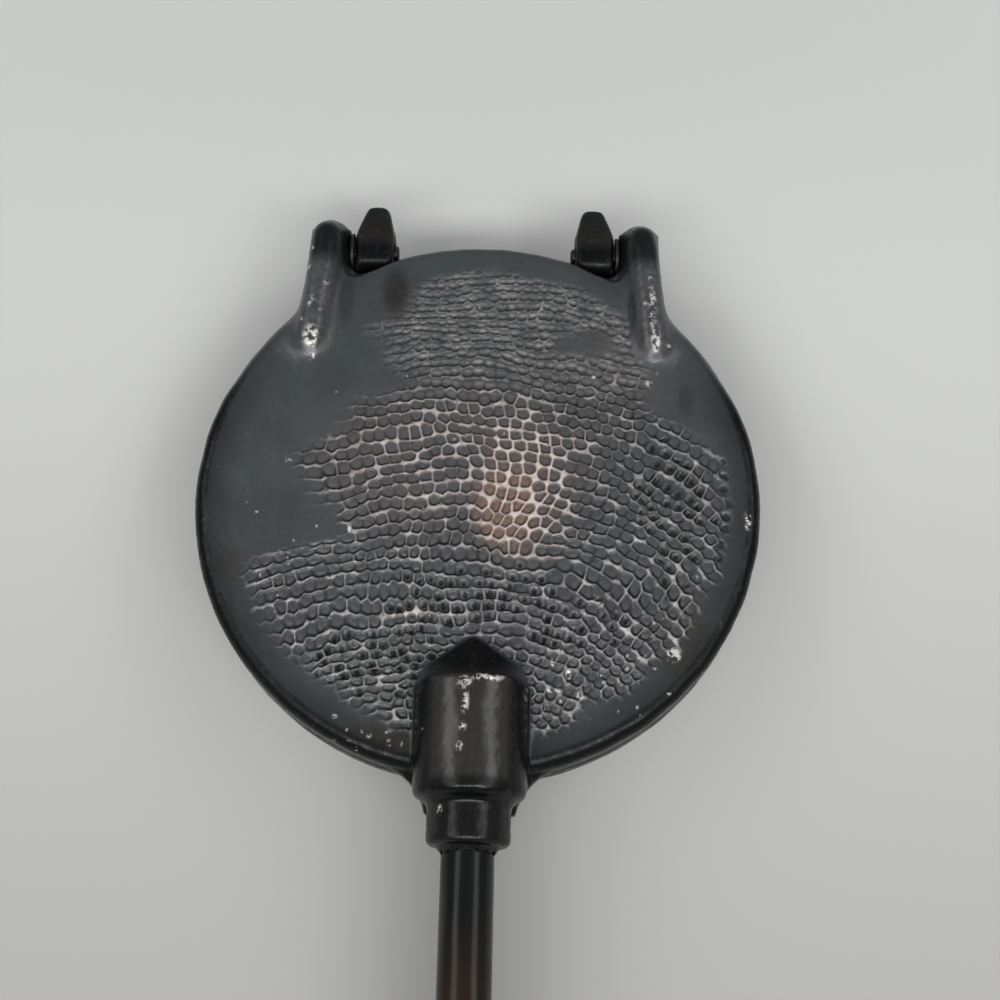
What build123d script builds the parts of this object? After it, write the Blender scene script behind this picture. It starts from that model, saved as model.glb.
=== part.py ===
from build123d import *
import os
from math import asin, atan2, cos, degrees, floor, radians, sin, sqrt

os.makedirs("parts", exist_ok=True)

# A hinged stove-top iron for thin waffle cookies, lying closed.  Millimetres.  +Z is up, +Y points
# to the hinge and the handles run towards -Y.  The origin is the centre of the lower plate's back.

# Baking plates
plate_radius = 70.0
plate_thickness = 8.0
shoulder_radius = 3.4
mating_gap = 0.2
rim_width = 8.5
recess_depth = 1.4
recess_draft = 0.8
cut_margin = 1.0

# Engraved baking faces
engraving_margin = 3.5
groove_pitch = 9.5
groove_width = 2.2
groove_depth = 0.9
lattice_angle = 32.0
petal_count = 12
eye_radius = 5.0
eye_gap = 4.0
petal_half_width = 4.4
petal_depth = 0.8
bead_radius = 2.2
bead_gap = 1.8
ring_inset = 4.0
ring_width = 1.8
ring_gap = 3.9

# Handle rods and their sockets
rod_radius = 6.0
rod_shown = 294.0
rod_end_rounding = 2.0
rod_spacing = 19.8
bore_clearance = 0.05
bore_end_wall = 4.0
barrel_radius = 13.0
barrel_length = 26.0
barrel_overhang = 5.0
barrel_nose_rounding = 0.7
barrel_end_rounding = 2.0
barrel_foot = 1.8
cheek_ledge = 0.05
neck_radius = 9.5
neck_length = 11.0
neck_draft = 0.25
neck_edge_rounding = 1.4
lip_wall = 1.1
lip_length = 2.2
lower_socket_inset = 4.5
prow_length = 13.0
prow_shoulder_length = 4.0
prow_half_width = 12.6
prow_slope_angle = 42.0
prow_height = 11.5

# Web that blends the rim into the neck
web_half_width = 21.0
web_end_margin = 1.1
web_reach = 3.0
web_height = 4.4
web_edge_rounding = 1.5
web_bow = 1.6

# Cross rivets through the necks
rivet_radius = 2.0
rivet_setback = 5.5
rivet_clearance = 0.03

# Hinge
pin_radius = 2.2
pin_overhang = 1.2
pin_proud = 1.1
pin_fit_clearance = 0.02
pin_running_clearance = 0.08
pin_end_chamfer = 0.4
ear_centre_x = 41.3
ear_width = 10.4
ear_tip_reach = 7.7
ear_root_length = 21.2
ear_outer_fillet = 24.0
ear_notch_fillet = 4.5
fillet_overlap = 0.3
fillet_root = 4.0
ear_knuckle_radius = 6.3
ear_edge_rounding = 2.6
rib_width = 8.2
rib_rise = 4.4
rib_rounding = 3.6
rib_nose_offset = (2.9, -31.2)
rib_tail_offset = (0.3, 0.8)
lug_inner_x = 24.2
lug_width = 10.6
lug_knuckle_radius = 5.9
lug_top = 4.6
lug_waist_reach = 4.6
lug_tip_reach = 13.0
lug_tip_width = 5.6
lug_tip_inset = 2.0
lug_root_length = 16.2
lug_edge_rounding = 0.9
relief_clearance = 0.6
foot_length = 11.2
foot_width = 8.0
foot_toe = 3.0
foot_root = 1.0
washer_radius = 5.3
washer_thickness = 1.0

# Closing link on the lower rod
wire_radius = 2.0
link_reach = 30.0
link_half_width = 10.0
link_corner_radius = 3.8
link_pivot_inset = 8.0
link_hole_clearance = 0.1
link_floor_gap = 0.1

# Places worked out from the sizes above
parting_z = plate_thickness + mating_gap / 2
upper_face_z = parting_z + mating_gap / 2
upper_back_z = upper_face_z + plate_thickness
upper_rod_z = parting_z + rod_spacing / 2
lower_rod_z = parting_z - rod_spacing / 2
floor_z = lower_rod_z - barrel_radius
recess_radius = plate_radius - rim_width
engraving_radius = recess_radius - engraving_margin
engraving_z = upper_face_z + recess_depth
ring_radius = engraving_radius - ring_inset
bead_circle_radius = ring_radius - ring_width / 2 - ring_gap - bead_radius
petal_start_radius = eye_radius + eye_gap
petal_end_radius = bead_circle_radius - bead_radius - bead_gap
bore_radius = rod_radius + bore_clearance
barrel_end_y = -plate_radius - barrel_overhang
barrel_nose_y = barrel_end_y + barrel_length
cheek_length = cheek_ledge + barrel_length - barrel_end_rounding
bore_bottom_y = barrel_nose_y - bore_end_wall
prow_shoulder_y = barrel_nose_y + prow_shoulder_length
prow_tip_y = barrel_nose_y + prow_length
neck_end_y = barrel_end_y - neck_length
lip_end_y = neck_end_y - lip_length
rivet_y = barrel_end_y - rivet_setback
rod_end_y = neck_end_y - rod_shown
web_end_half_width = neck_radius + web_end_margin
pin_y = plate_radius + pin_overhang
lug_waist_y = pin_y + lug_waist_reach
lug_tip_y = pin_y + lug_tip_reach
lug_root_y = pin_y - lug_root_length
foot_front_y = pin_y - foot_length
ear_inner_x = ear_centre_x - ear_width / 2
ear_outer_x = ear_centre_x + ear_width / 2
lug_outer_x = lug_inner_x + lug_width
lug_centre_x = lug_inner_x + lug_width / 2
pin_inner_x = lug_inner_x - pin_proud
washer_x = (lug_outer_x + ear_inner_x - washer_thickness) / 2
link_pivot_y = rod_end_y + link_pivot_inset
link_drop = lower_rod_z - floor_z - wire_radius - link_floor_gap
link_rest_angle = degrees(asin(link_drop / link_reach))
parting = Plane.XY.offset(parting_z)


def across(x):
    """The plane square to the hinge axis at x, with local x along +Y and local y along +Z."""
    return Plane(origin=(x, 0, 0), x_dir=(0, 1, 0), z_dir=(1, 0, 0))


def rim_y(x):
    """Where the round rim lies at a distance x from the middle."""
    return sqrt(plate_radius ** 2 - x ** 2)


def plate_disc():
    """The round plate with its shoulder."""
    with BuildPart() as disc:
        with BuildSketch(Plane.XZ) as section:
            with Locations((0, upper_face_z)):
                Rectangle(plate_radius, plate_thickness, align=(Align.MIN, Align.MIN))
            outer_top = section.vertices().group_by(Axis.X)[-1].sort_by(Axis.Y)[-1]
            fillet(outer_top, shoulder_radius)
        revolve(axis=Axis.Z)
    return disc.part


def batter_recess():
    """The shallow hollow with sloping sides that holds the batter, in a plate's mating face."""
    with BuildPart() as recess:
        with BuildSketch(Plane.XZ):
            with BuildLine():
                Polyline(
                    (0, upper_face_z),
                    (recess_radius, upper_face_z),
                    (recess_radius - recess_draft, upper_face_z + recess_depth),
                    (0, upper_face_z + recess_depth),
                    close=True,
                )
            make_face()
        revolve(axis=Axis.Z)
    return recess.part


def socket_body():
    """The barrel with its upright cheeks and the narrower neck, cut off at the mating face."""
    with BuildPart() as body:
        with BuildSketch(Plane.XY.offset(upper_rod_z)) as half_section:
            with BuildLine():
                Polyline(
                    (0, barrel_nose_y),
                    (barrel_radius, barrel_nose_y),
                    (barrel_radius, barrel_end_y),
                    (neck_radius + neck_draft, barrel_end_y - barrel_foot),
                    (neck_radius, neck_end_y),
                    (bore_radius + lip_wall, neck_end_y),
                    (bore_radius, lip_end_y),
                    (0, lip_end_y),
                    close=True,
                )
            make_face()
            neck_corner = half_section.vertices().group_by(Axis.Y)[1].sort_by(Axis.X)[-1]
            fillet(neck_corner, neck_edge_rounding)
            end_corner, nose_corner = half_section.vertices().sort_by(Axis.X)[-2:].sort_by(Axis.Y)
            fillet(end_corner, barrel_end_rounding)
            fillet(nose_corner, barrel_nose_rounding)
        revolve(axis=Axis((0, 0, upper_rod_z), (0, 1, 0)))
        with BuildSketch(Plane.XY.offset(upper_face_z)):
            with Locations((0, barrel_nose_y + cheek_ledge)):
                Rectangle(2 * (barrel_radius + cheek_ledge), cheek_length, align=(Align.CENTER, Align.MAX))
        extrude(amount=upper_rod_z - upper_face_z)
        split(bisect_by=Plane.XY.offset(upper_face_z), keep=Keep.TOP)
    return body.part


def prow():
    """The pointed foot that runs from the socket's blunt nose down onto the plate's back."""
    with BuildPart() as wedge:
        with BuildSketch(Plane.XY.offset(upper_back_z)):
            with BuildLine():
                Polyline(
                    (-prow_half_width, barrel_end_y),
                    (prow_half_width, barrel_end_y),
                    (prow_half_width, prow_shoulder_y),
                    (0, prow_tip_y),
                    (-prow_half_width, prow_shoulder_y),
                    close=True,
                )
            make_face()
        extrude(amount=prow_height, taper=prow_slope_angle)
    return wedge.part


def neck_web(end_y):
    """The flat web either side of the socket that carries the rim into the neck at end_y."""
    start = (web_half_width, -rim_y(web_half_width))
    end = (web_end_half_width, end_y)
    bow = ((start[0] + end[0]) / 2 - web_bow, (start[1] + end[1]) / 2 + web_bow)
    inner_y = start[1] + 2 * web_bow
    with BuildPart() as web:
        with BuildSketch(Plane.XY.offset(upper_face_z)):
            with BuildLine():
                ThreePointArc(start, bow, end)
                Polyline(end, (0, end_y), (0, inner_y), (web_half_width, inner_y), start)
            make_face()
            mirror(about=Plane.YZ)
        extrude(amount=web_height)
        top_arcs = web.faces().sort_by(Axis.Z)[-1].edges().filter_by(GeomType.CIRCLE)
        fillet(top_arcs, web_edge_rounding)
    return web.part


def socket_bore():
    """The blind bore that the rod sits in."""
    with BuildPart() as bore:
        with BuildSketch(Plane.XZ.offset(-bore_bottom_y)):
            with Locations((0, upper_rod_z)):
                Circle(bore_radius)
        extrude(amount=bore_bottom_y - lip_end_y + cut_margin)
    return bore.part


def rivet_hole():
    """The hole across the neck for its rivet."""
    with BuildPart() as hole:
        with BuildSketch(Plane.YZ):
            with Locations((rivet_y, upper_rod_z)):
                Circle(rivet_radius + rivet_clearance)
        extrude(amount=barrel_radius + cut_margin, both=True)
    return hole.part


def casting_blank(inset=0.0):
    """One plate the way up of the upper one, its bored and drilled socket set in by inset."""
    place = Location((0, inset, 0))
    with BuildPart() as blank:
        add(plate_disc())
        add(socket_body().moved(place))
        add(prow().moved(place))
        add(neck_web(barrel_end_y - web_reach + inset))
        add(socket_bore().moved(place), mode=Mode.SUBTRACT)
        add(rivet_hole().moved(place), mode=Mode.SUBTRACT)
        add(batter_recess(), mode=Mode.SUBTRACT)
    return blank.part


def pin_cylinder(radius, start_x, end_x):
    """A cylinder on the hinge axis, from start_x to end_x."""
    with BuildPart() as cylinder:
        with BuildSketch(across(start_x)):
            with Locations((pin_y, parting_z)):
                Circle(radius)
        extrude(amount=end_x - start_x)
    return cylinder.part


def rim_fillet(line_x, radius, side):
    """The corner filled by an arc that runs from the upright line at line_x into the round rim."""
    inner_rim = plate_radius - fillet_overlap
    centre = Vector(line_x + side * radius, 0)
    centre.Y = sqrt((inner_rim + radius) ** 2 - centre.X ** 2)
    on_line = (line_x, centre.Y)
    on_rim = centre * (inner_rim / (inner_rim + radius))
    nearest = centre + (Vector(line_x, on_rim.Y) - centre).normalized() * radius
    inside_x = line_x - side * fillet_overlap
    inside_y = on_rim.Y - fillet_root
    with BuildSketch() as corner:
        with BuildLine():
            ThreePointArc(on_line, nearest, on_rim)
            Polyline(on_rim, (inside_x, inside_y), (inside_x, centre.Y), on_line)
        make_face()
    return corner.sketch


def right_ear():
    """The upper plate's hinge ear: a round-ended finger, its knuckle and the rib that stiffens it."""
    tip_centre_y = pin_y + ear_tip_reach - ear_width / 2
    finger_length = tip_centre_y - pin_y + ear_root_length
    with BuildPart() as ear:
        with BuildSketch(Plane.XY.offset(upper_face_z)):
            with Locations((ear_centre_x, tip_centre_y)):
                Rectangle(ear_width, finger_length, align=(Align.CENTER, Align.MAX))
                Circle(ear_width / 2)
        extrude(amount=plate_thickness)
        top_edges = ear.faces().sort_by(Axis.Z)[-1].edges().sort_by(Axis.Y)[1:]
        fillet(top_edges, ear_edge_rounding)
        with BuildSketch(Plane.XY.offset(upper_face_z)):
            add(rim_fillet(ear_outer_x, ear_outer_fillet, 1))
            add(rim_fillet(ear_inner_x, ear_notch_fillet, -1))
        extrude(amount=plate_thickness - shoulder_radius - fillet_overlap)
        add(pin_cylinder(ear_knuckle_radius, ear_inner_x, ear_outer_x))
    return ear.part


def right_rib():
    """The rounded rib along the top of the ear, running onto the plate's back to a blunt nose."""
    nose = Vector(ear_centre_x, pin_y) + Vector(*rib_nose_offset)
    tail = Vector(ear_centre_x, pin_y) + Vector(*rib_tail_offset)
    run = tail - nose
    middle = (tail + nose) / 2
    angle = degrees(atan2(run.Y, run.X))
    with BuildPart() as rib:
        with BuildSketch(Plane.XY.offset(upper_back_z - rib_rounding)):
            with Locations(Location((middle.X, middle.Y), angle)):
                SlotCenterToCenter(run.length, rib_width)
        extrude(amount=rib_rounding + rib_rise)
        fillet(rib.faces().sort_by(Axis.Z)[-1].edges(), rib_rounding)
    return rib.part


def right_lug():
    """The lower plate's hinge lug: knuckle, tapering tongue that stops the lid, root and foot."""
    tip_inner_x = lug_inner_x + lug_tip_inset
    with BuildPart() as lug:
        with BuildSketch(Plane.XY):
            with BuildLine():
                Polyline(
                    (lug_inner_x, pin_y),
                    (lug_inner_x, lug_waist_y),
                    (tip_inner_x, lug_tip_y),
                    (tip_inner_x + lug_tip_width, lug_tip_y),
                    (lug_outer_x, lug_waist_y),
                    (lug_outer_x, pin_y),
                    close=True,
                )
            make_face()
        extrude(amount=parting_z + lug_top)
        upright = lug.edges().filter_by(Axis.Z).group_by(Axis.Y)[1:]
        fillet([edge for group in upright for edge in group], lug_edge_rounding)
        fillet(lug.faces().sort_by(Axis.Z)[-1].edges().sort_by(Axis.Y)[-1:], lug_edge_rounding)
        add(pin_cylinder(lug_knuckle_radius, lug_inner_x, lug_outer_x))
        with BuildSketch(across(lug_inner_x)):
            with BuildLine():
                Polyline(
                    (lug_root_y, 0),
                    (pin_y, 0),
                    (pin_y, plate_thickness),
                    (lug_root_y, plate_thickness),
                    close=True,
                )
            make_face()
        extrude(amount=lug_width)
        with BuildSketch(across(lug_centre_x - foot_width / 2)):
            with BuildLine():
                Polyline(
                    (foot_front_y - 2 * foot_toe, foot_root),
                    (foot_front_y, floor_z),
                    (lug_waist_y, floor_z),
                    (lug_waist_y + foot_toe, foot_root),
                    close=True,
                )
            make_face()
        extrude(amount=foot_width)
        split(bisect_by=Plane.XY.offset(parting_z + lug_top), keep=Keep.BOTTOM)
    return lug.part


def petal(angle):
    """One lens-shaped petal, pointing outwards at the given angle."""
    outwards = Vector(cos(radians(angle)), sin(radians(angle)))
    start = outwards * petal_start_radius
    end = outwards * petal_end_radius
    middle = (start + end) / 2
    side = Vector(-outwards.Y, outwards.X) * petal_half_width
    with BuildSketch() as lens:
        with BuildLine():
            ThreePointArc(start, middle + side, end)
            ThreePointArc(end, middle - side, start)
        make_face()
    return lens.sketch


def rosette():
    """The engraving in the upper plate: a ring round an eye, petals and beads between them."""
    with BuildPart() as engraving:
        with BuildSketch(Plane.XY.offset(engraving_z)):
            Circle(ring_radius + ring_width / 2)
            Circle(ring_radius - ring_width / 2, mode=Mode.SUBTRACT)
            Circle(eye_radius)
            for index in range(petal_count):
                add(petal(index * 360 / petal_count))
            with PolarLocations(bead_circle_radius, petal_count, start_angle=180 / petal_count):
                Circle(bead_radius)
        extrude(amount=petal_depth)
    return engraving.part


def lattice_groove(offset, angle):
    """One straight V-groove of the lattice, cut up into a face that looks down at z = 0."""
    half_chord = sqrt(engraving_radius ** 2 - offset ** 2)
    turned = Plane.XZ.rotated((0, 0, angle))
    with BuildPart() as groove:
        with BuildSketch(turned.offset(-half_chord)):
            with BuildLine():
                Polyline(
                    (offset - groove_width / 2, 0),
                    (offset + groove_width / 2, 0),
                    (offset, groove_depth),
                    close=True,
                )
            make_face()
        extrude(amount=2 * half_chord)
    return groove.part


def lattice():
    """The engraving in the lower plate: two sets of grooves that cross in diamonds."""
    count = floor((engraving_radius - groove_width) / groove_pitch)
    with BuildPart() as engraving:
        for angle in (-lattice_angle, lattice_angle):
            for index in range(-count, count + 1):
                add(lattice_groove(index * groove_pitch, angle))
    return engraving.part.moved(Location((0, 0, engraving_z)))


def on_both_sides(piece):
    """A right-hand feature and its mirror image."""
    return [piece, piece.mirror(Plane.YZ)]


with BuildPart() as upper_plate:
    add(casting_blank())
    for feature in on_both_sides(right_ear()) + on_both_sides(right_rib()):
        add(feature)
    relief = pin_cylinder(
        lug_knuckle_radius + relief_clearance,
        lug_inner_x - relief_clearance,
        lug_outer_x + relief_clearance,
    )
    pin_hole = pin_cylinder(
        pin_radius + pin_fit_clearance,
        ear_inner_x - cut_margin,
        ear_outer_x + cut_margin,
    )
    for cutter in on_both_sides(relief) + on_both_sides(pin_hole):
        add(cutter, mode=Mode.SUBTRACT)
    add(rosette(), mode=Mode.SUBTRACT)
upper_plate.part.label = "upper_plate"
export_step(upper_plate.part, "parts/upper_plate.step")

with BuildPart() as lower_blank:
    add(casting_blank(lower_socket_inset))
    add(lattice(), mode=Mode.SUBTRACT)

with BuildPart() as lower_plate:
    add(lower_blank.part.mirror(parting))
    for feature in on_both_sides(right_lug()):
        add(feature)
    running_hole = pin_cylinder(
        pin_radius + pin_running_clearance,
        lug_inner_x - cut_margin,
        lug_outer_x + cut_margin,
    )
    for cutter in on_both_sides(running_hole):
        add(cutter, mode=Mode.SUBTRACT)
lower_plate.part.label = "lower_plate"
export_step(lower_plate.part, "parts/lower_plate.step")

# Hinge pins, pressed into the ears and turning in the lugs, and the washers between the two
with BuildPart() as right_hinge_pin:
    with BuildSketch(across(pin_inner_x)):
        with Locations((pin_y, parting_z)):
            Circle(pin_radius)
    extrude(amount=ear_outer_x - pin_inner_x)
    chamfer(right_hinge_pin.edges().filter_by(GeomType.CIRCLE), pin_end_chamfer)

with BuildPart() as right_hinge_washer:
    with BuildSketch(across(washer_x)):
        with Locations((pin_y, parting_z)):
            Circle(washer_radius)
            Circle(pin_radius + pin_running_clearance, mode=Mode.SUBTRACT)
    extrude(amount=washer_thickness)

for name, piece in (("hinge_pin", right_hinge_pin.part), ("hinge_washer", right_hinge_washer.part)):
    for side, shape in zip(("right", "left"), on_both_sides(piece)):
        shape.label = f"{side}_{name}"
        export_step(shape, f"parts/{side}_{name}.step")


def handle_rod(rod_z, inset=0.0):
    """A plain round steel rod with eased ends, seated against the bottom of its socket."""
    with BuildPart() as rod:
        with BuildSketch(Plane.XZ.offset(-bore_bottom_y - inset)):
            with Locations((0, rod_z)):
                Circle(rod_radius)
        extrude(amount=bore_bottom_y + inset - rod_end_y)
        fillet(rod.edges().filter_by(GeomType.CIRCLE).sort_by(Axis.Y)[0], rod_end_rounding)
        with BuildSketch(Plane.YZ):
            with Locations((rivet_y + inset, rod_z)):
                Circle(rivet_radius + rivet_clearance)
        extrude(amount=rod_radius + cut_margin, both=True, mode=Mode.SUBTRACT)
    return rod.part


with BuildPart() as upper_handle_rod:
    add(handle_rod(upper_rod_z))
upper_handle_rod.part.label = "upper_handle_rod"
export_step(upper_handle_rod.part, "parts/upper_handle_rod.step")

with BuildPart() as lower_handle_rod:
    add(handle_rod(lower_rod_z, lower_socket_inset))
    with BuildSketch(Plane.YZ):
        with Locations((link_pivot_y, lower_rod_z)):
            Circle(wire_radius + link_hole_clearance)
    extrude(amount=rod_radius + cut_margin, both=True, mode=Mode.SUBTRACT)
lower_handle_rod.part.label = "lower_handle_rod"
export_step(lower_handle_rod.part, "parts/lower_handle_rod.step")


def socket_rivet(rod_z, inset=0.0):
    """A cross rivet, peened and dressed flush with the round of the neck."""
    with BuildPart() as rivet:
        with BuildSketch(Plane.YZ):
            with Locations((rivet_y + inset, rod_z)):
                Circle(rivet_radius)
        extrude(amount=neck_radius + cut_margin, both=True)
        with BuildSketch(Plane.XZ.offset(-rivet_y - inset - 2 * rivet_radius)):
            with Locations((0, rod_z)):
                Circle(neck_radius)
        extrude(amount=4 * rivet_radius, mode=Mode.INTERSECT)
    return rivet.part


with BuildPart() as upper_socket_rivet:
    add(socket_rivet(upper_rod_z))
upper_socket_rivet.part.label = "upper_socket_rivet"
export_step(upper_socket_rivet.part, "parts/upper_socket_rivet.step")

with BuildPart() as lower_socket_rivet:
    add(socket_rivet(lower_rod_z, lower_socket_inset))
lower_socket_rivet.part.label = "lower_socket_rivet"
export_step(lower_socket_rivet.part, "parts/lower_socket_rivet.step")

# Closing link: round wire bent to a rectangle and welded, hung through the lower rod's end
link_plane = Plane(
    origin=(0, link_pivot_y, lower_rod_z),
    x_dir=(1, 0, 0),
    z_dir=(0, -sin(radians(link_rest_angle)), cos(radians(link_rest_angle))),
)
with BuildPart() as closing_link:
    with BuildSketch(link_plane, mode=Mode.PRIVATE) as link_outline:
        with Locations((0, -link_reach / 2)):
            RectangleRounded(2 * link_half_width, link_reach, link_corner_radius)
    link_path = link_outline.sketch.face().outer_wire()
    with BuildSketch(Plane(origin=link_path @ 0, z_dir=link_path % 0)):
        Circle(wire_radius)
    sweep(path=link_path)
closing_link.part.label = "closing_link"
export_step(closing_link.part, "parts/closing_link.step")
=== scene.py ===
import math

import bmesh
import bpy
import numpy as np
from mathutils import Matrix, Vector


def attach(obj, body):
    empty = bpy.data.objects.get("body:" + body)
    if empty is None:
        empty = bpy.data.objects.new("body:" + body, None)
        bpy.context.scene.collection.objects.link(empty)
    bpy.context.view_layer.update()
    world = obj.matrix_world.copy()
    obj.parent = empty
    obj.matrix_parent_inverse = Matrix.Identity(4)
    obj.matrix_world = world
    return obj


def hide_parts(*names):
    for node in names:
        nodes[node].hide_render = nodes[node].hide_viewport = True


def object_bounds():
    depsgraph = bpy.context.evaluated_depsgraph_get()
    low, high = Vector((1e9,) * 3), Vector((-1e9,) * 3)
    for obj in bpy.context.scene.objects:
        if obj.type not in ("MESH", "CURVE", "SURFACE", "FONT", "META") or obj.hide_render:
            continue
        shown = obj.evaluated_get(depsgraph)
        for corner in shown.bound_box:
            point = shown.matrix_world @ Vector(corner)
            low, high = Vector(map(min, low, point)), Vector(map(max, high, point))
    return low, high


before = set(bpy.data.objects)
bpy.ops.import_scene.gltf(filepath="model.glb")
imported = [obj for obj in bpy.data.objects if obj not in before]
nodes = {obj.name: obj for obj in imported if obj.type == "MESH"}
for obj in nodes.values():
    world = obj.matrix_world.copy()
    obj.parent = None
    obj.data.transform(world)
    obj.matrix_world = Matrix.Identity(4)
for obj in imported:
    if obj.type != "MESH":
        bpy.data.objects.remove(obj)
cad_box = [list(corner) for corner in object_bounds()]

# The two plates are grey iron, each cast in sand in one piece with its handle socket and its
# hinge lugs or ears.  Their backs carry shallow round pits in rough wavy rows, worn along the
# crests, and years of baked-on oil cover everything with a thin black skin.
mm = 0.001
# In mm: how near points are merged, the grain of the net, the heights of the two backs and of
# the parting between the plates
merge_distance = 0.002
plate_grain = 0.54
upper_back = 16.2
lower_back = 0.0
parting = 8.1


def fine_skin(node, name, grain):
    """A solid's surface as one even net of small faces, ready to be worked on."""
    piece = bpy.data.objects.new(name, nodes[node].data.copy())
    bpy.context.scene.collection.objects.link(piece)
    net = bmesh.new()
    net.from_mesh(piece.data)
    bmesh.ops.remove_doubles(net, verts=net.verts, dist=merge_distance * mm)
    net.to_mesh(piece.data)
    net.free()
    remesh = piece.modifiers.new("net", "REMESH")
    remesh.mode = "VOXEL"
    remesh.voxel_size = grain * mm
    relax = piece.modifiers.new("relax", "SMOOTH")
    relax.factor = 0.5
    relax.iterations = 2
    graph = bpy.context.evaluated_depsgraph_get()
    mesh = bpy.data.meshes.new_from_object(piece.evaluated_get(graph))
    piece.modifiers.clear()
    piece.data = mesh
    mesh.name = name
    mesh.materials.clear()
    mesh.shade_smooth()
    return piece


def read_points(piece):
    """The points of a mesh in millimetres, and their normals."""
    mesh = piece.data
    points = np.empty(3 * len(mesh.vertices), np.float32)
    normals = np.empty(3 * len(mesh.vertices), np.float32)
    mesh.vertices.foreach_get("co", points)
    mesh.vertex_normals.foreach_get("vector", normals)
    return points.reshape(-1, 3).astype(float) / mm, normals.reshape(-1, 3).astype(float)


def write_points(piece, points):
    """Moves the points of a mesh to these places in millimetres."""
    piece.data.vertices.foreach_set("co", (points * mm).astype(np.float32).ravel())
    piece.data.update()


def edge_ends(piece):
    """The point numbers at the two ends of every edge."""
    pairs = np.empty(2 * len(piece.data.edges), np.int32)
    piece.data.edges.foreach_get("vertices", pairs)
    return pairs.reshape(-1, 2).T


def mark(piece, name, values):
    """Stores how strong a mark is at each point, for the material to read: wear, tints and soot, and
    painted light and shade.
    """
    layer = piece.data.attributes.new(name, "FLOAT", "POINT")
    layer.data.foreach_set("value", np.clip(values, 0, 1).astype(np.float32))


wave_count = 12
wave_spread = (0.7, 1.5)


def waves(points, height, length, seed):
    """A smooth seeded unevenness about zero, in swells of about this height and length."""
    draw = np.random.default_rng(seed)
    total = np.zeros(len(points))
    for _ in range(wave_count):
        direction = draw.normal(size=points.shape[1])
        direction *= 2 * math.pi / (length * np.linalg.norm(direction) * draw.uniform(*wave_spread))
        total += np.sin(points @ direction + draw.uniform(0, 2 * math.pi))
    return height * (total / math.sqrt(wave_count))


def step(none, full, values):
    """0 on the side of none, 1 on the side of full, and a smooth slope between the two."""
    share = np.clip((values - none) / (full - none), 0, 1)
    return share * share * (3 - 2 * share)


def measure(points, normals, back_z, facing):
    """What the limits of a plate's parts are set in: the side is the distance from the middle
    line, the circle the distance from the middle, the height is taken over the flat of the
    back, all in mm, and upright is how far the surface faces up or down."""
    x, y = points[:, 0], points[:, 1]
    return {
        "side": np.abs(x),
        "y": y,
        "circle": np.hypot(x, y),
        "height": (points[:, 2] - back_z) * facing,
        "upright": np.abs(normals[:, 2]),
    }


def inside(measures, limits):
    """1 inside a part of a plate and 0 outside it.  Each limit is the name of a measure, the
    value at which it is still outside and the value from which it is fully inside."""
    total = 1.0
    for name, none, full in limits:
        total = total * step(none, full, measures[name])
    return total


spot_edge = (0.45, 1.15)


def spot(plan, x, y, half_width, half_height):
    """A soft oval patch on the back, 1 in the middle and 0 outside."""
    away = np.hypot((plan[:, 0] - x) / half_width, (plan[:, 1] - y) / half_height)
    return 1 - step(*spot_edge, away)


def spots(plan, places):
    """Several soft patches, each given as x, y, half width, half height and strength."""
    total = np.zeros(len(plan))
    for *place, strength in places:
        total = np.maximum(total, strength * spot(plan, *place))
    return total


def rub_down(piece, share, rounds):
    """Rounds off the corners and hollows in share, as moulding sand and wear do: each round
    moves a point half way to the middle of its neighbours."""
    first, second = edge_ends(piece)
    points, _ = read_points(piece)
    count = len(points)
    neighbours = np.bincount(first, minlength=count) + np.bincount(second, minlength=count)
    for _ in range(rounds):
        for axis in range(3):
            line = points[:, axis]
            around = np.bincount(first, line[second], count) + np.bincount(second, line[first], count)
            points[:, axis] += 0.5 * share * (around / neighbours - line)
    write_points(piece, points)


back_reach = 67.5
halved_within = 0.4


def halve_back(piece, back_z):
    """Halves the faces of a plate's flat back, where the pits need a finer net."""
    net = bmesh.new()
    net.from_mesh(piece.data)
    picked = set()
    for face in net.faces:
        centre = face.calc_center_median() / mm
        if abs(centre.z - back_z) < halved_within and centre.xy.length < back_reach:
            picked.update(face.edges)
    bmesh.ops.subdivide_edges(net, edges=list(picked), cuts=1, use_grid_fill=True)
    net.to_mesh(piece.data)
    net.free()
    piece.data.shade_smooth()


def standing_out(piece):
    """How sharply each point stands out from its neighbours (+) or lies in a hollow (-)."""
    points, normals = read_points(piece)
    first, second = edge_ends(piece)
    offset = points[second] - points[first]
    around = np.zeros_like(points)
    for axis in range(3):
        around[:, axis] = np.bincount(first, offset[:, axis], len(points))
        around[:, axis] -= np.bincount(second, offset[:, axis], len(points))
    spans = np.einsum("ij,ij->i", offset, offset)
    area = np.bincount(first, spans, len(points)) + np.bincount(second, spans, len(points))
    return -2 * np.einsum("ij,ij->i", around, normals) / np.maximum(area, 1e-9)


# Rows of pits bend about one centre on the right half and another on the left, and crowd
# together towards the top and the foot of the back.
row_pitch = 3.3
row_crowding = 3.6
crowding_reach = 60
row_centre_right = -78.0
row_centre_left = -190.0
# (height, length) of the swells that bend the rows and shift the pits along them
row_swell = (1.1, 42)
row_wobble = (0.42, 15)
row_drift = (1.2, 36)
# (y, distance from pit to pit in a row)
pit_pitch = ((-60, 10, 55), (2.9, 3.2, 2.45))
# How far a pit strays from its place, how firm the walls in a row and between rows are
stray_along = 0.2
stray_up = 0.17
gap_kinds = (0.15, 0.5, 0.85)
gap_odds = (0.35, 0.35, 0.3)
netted_gap = 0.9
bank_range = (0.75, 1.0)
# The shape of a pit: its wall rises between these distances from its edge
wall_edge = (0.04, 0.95)
crest_width = 0.38
pit_roundness = 1.2
pit_stretch = 0.87
gap_opening = 0.7
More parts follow.
